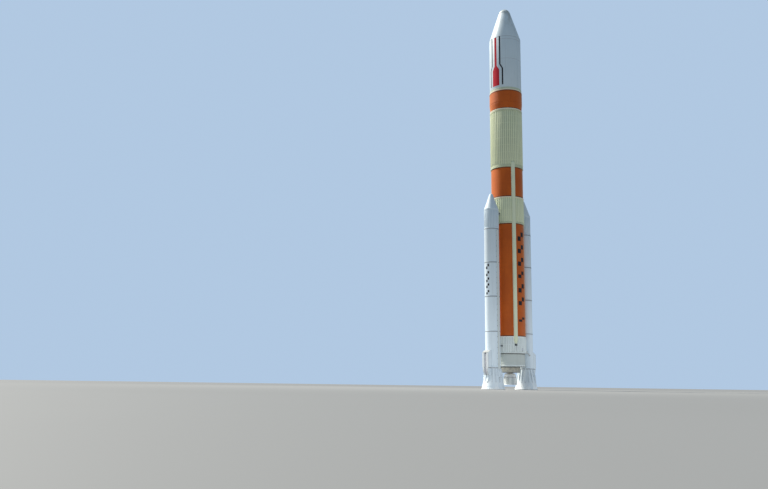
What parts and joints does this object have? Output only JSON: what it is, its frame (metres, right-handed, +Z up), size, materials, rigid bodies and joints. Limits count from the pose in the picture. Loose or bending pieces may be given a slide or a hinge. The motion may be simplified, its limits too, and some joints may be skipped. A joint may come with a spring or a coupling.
{
  "type": "space rocket, 1:10 scale model",
  "caption": "Scale model of a space rocket standing on the flared skirts of its strap-on boosters, with ribbed core sections, a pointed payload fairing and swivelling engine nozzles.",
  "frame": {"origin": "on the ground under the axis of the core, at the bottom centre of the box", "axes": "+Z up along the core; the boosters lie on -X (booster a) and +X (booster b); -Y is the side with the front cable duct"},
  "size_m": [0.903, 0.418, 5],
  "materials": {
    "white_paint": "satin white paint, lightly weathered",
    "cream_foam": "matt cream-green coating over sprayed foam",
    "orange_foam": "matt orange-brown sprayed foam, uneven",
    "grey_paint": "matt light grey heat shield paint",
    "engine_steel": "machined steel",
    "bell_alloy": "satin nickel alloy tubes with a bright rim",
    "nozzle_grey": "matt dark carbon composite",
    "bearing_rubber": "matt black rubber",
    "fitting_metal": "grey painted aluminium"
  },
  "bodies": {
    "rocket": {"aft_skirt": "white_paint", "hydrogen_tank": "orange_foam", "intertank": "cream_foam", "oxygen_tank": "orange_foam", "interstage": "cream_foam", "second_stage_skirt": "orange_foam", "second_stage_tank": "orange_foam", "fairing_base_ring": "cream_foam", "fairing_half_a": "white_paint", "fairing_half_b": "white_paint", "nose_cap": "white_paint", "engine_section": "grey_paint", "heat_shield": "grey_paint", "gimbal_mount": "engine_steel", "cable_duct_front": "cream_foam", "cable_duct_rear": "cream_foam", "booster_a_nose_cone": "white_paint", "booster_a_forward_skirt": "white_paint", "booster_a_motor_segment_1": "white_paint", "booster_a_motor_segment_2": "white_paint", "booster_a_motor_segment_3": "white_paint", "booster_a_motor_segment_4": "white_paint", "booster_a_skirt": "white_paint", "booster_a_rear_dome": "grey_paint", "booster_a_raceway": "white_paint", "booster_a_equipment_pod": "white_paint", "booster_b_nose_cone": "white_paint", "booster_b_forward_skirt": "white_paint", "booster_b_motor_segment_1": "white_paint", "booster_b_motor_segment_2": "white_paint", "booster_b_motor_segment_3": "white_paint", "booster_b_motor_segment_4": "white_paint", "booster_b_skirt": "white_paint", "booster_b_rear_dome": "grey_paint", "booster_b_raceway": "white_paint", "booster_b_equipment_pod": "white_paint", "forward_fitting_a": "fitting_metal", "forward_fitting_b": "fitting_metal", "aft_fitting_a": "fitting_metal", "aft_fitting_b": "fitting_metal", "sway_strut_a": "fitting_metal", "sway_strut_b": "fitting_metal"},
    "gimbal_cross": {"gimbal_cross": "engine_steel"},
    "main_engine": {"engine_head": "engine_steel", "engine_bell": "bell_alloy"},
    "nozzle_bearing_a": {"booster_a_flexible_bearing": "bearing_rubber"},
    "nozzle_a": {"booster_a_nozzle": "nozzle_grey"},
    "nozzle_bearing_b": {"booster_b_flexible_bearing": "bearing_rubber"},
    "nozzle_b": {"booster_b_nozzle": "nozzle_grey"}
  },
  "joints": [
    {"name": "engine_swing_x", "type": "hinge", "parent": "rocket", "child": "gimbal_cross", "pos_m": [0, 0, 0.238], "axis": [0, 1, 0], "range_deg": [-7, 7]},
    {"name": "engine_swing_y", "type": "hinge", "parent": "gimbal_cross", "child": "main_engine", "pos_m": [0, 0, 0.238], "axis": [1, 0, 0], "range_deg": [-7, 7]},
    {"name": "nozzle_a_swing_y", "type": "hinge", "parent": "rocket", "child": "nozzle_bearing_a", "pos_m": [-0.31, 0, 0.214], "axis": [1, 0, 0], "range_deg": [-5, 5]},
    {"name": "nozzle_a_swing_x", "type": "hinge", "parent": "nozzle_bearing_a", "child": "nozzle_a", "pos_m": [-0.31, 0, 0.214], "axis": [0, 1, 0], "range_deg": [-5, 5]},
    {"name": "nozzle_b_swing_y", "type": "hinge", "parent": "rocket", "child": "nozzle_bearing_b", "pos_m": [0.31, 0, 0.214], "axis": [1, 0, 0], "range_deg": [-5, 5]},
    {"name": "nozzle_b_swing_x", "type": "hinge", "parent": "nozzle_bearing_b", "child": "nozzle_b", "pos_m": [0.31, 0, 0.214], "axis": [0, 1, 0], "range_deg": [-5, 5]}
  ]
}
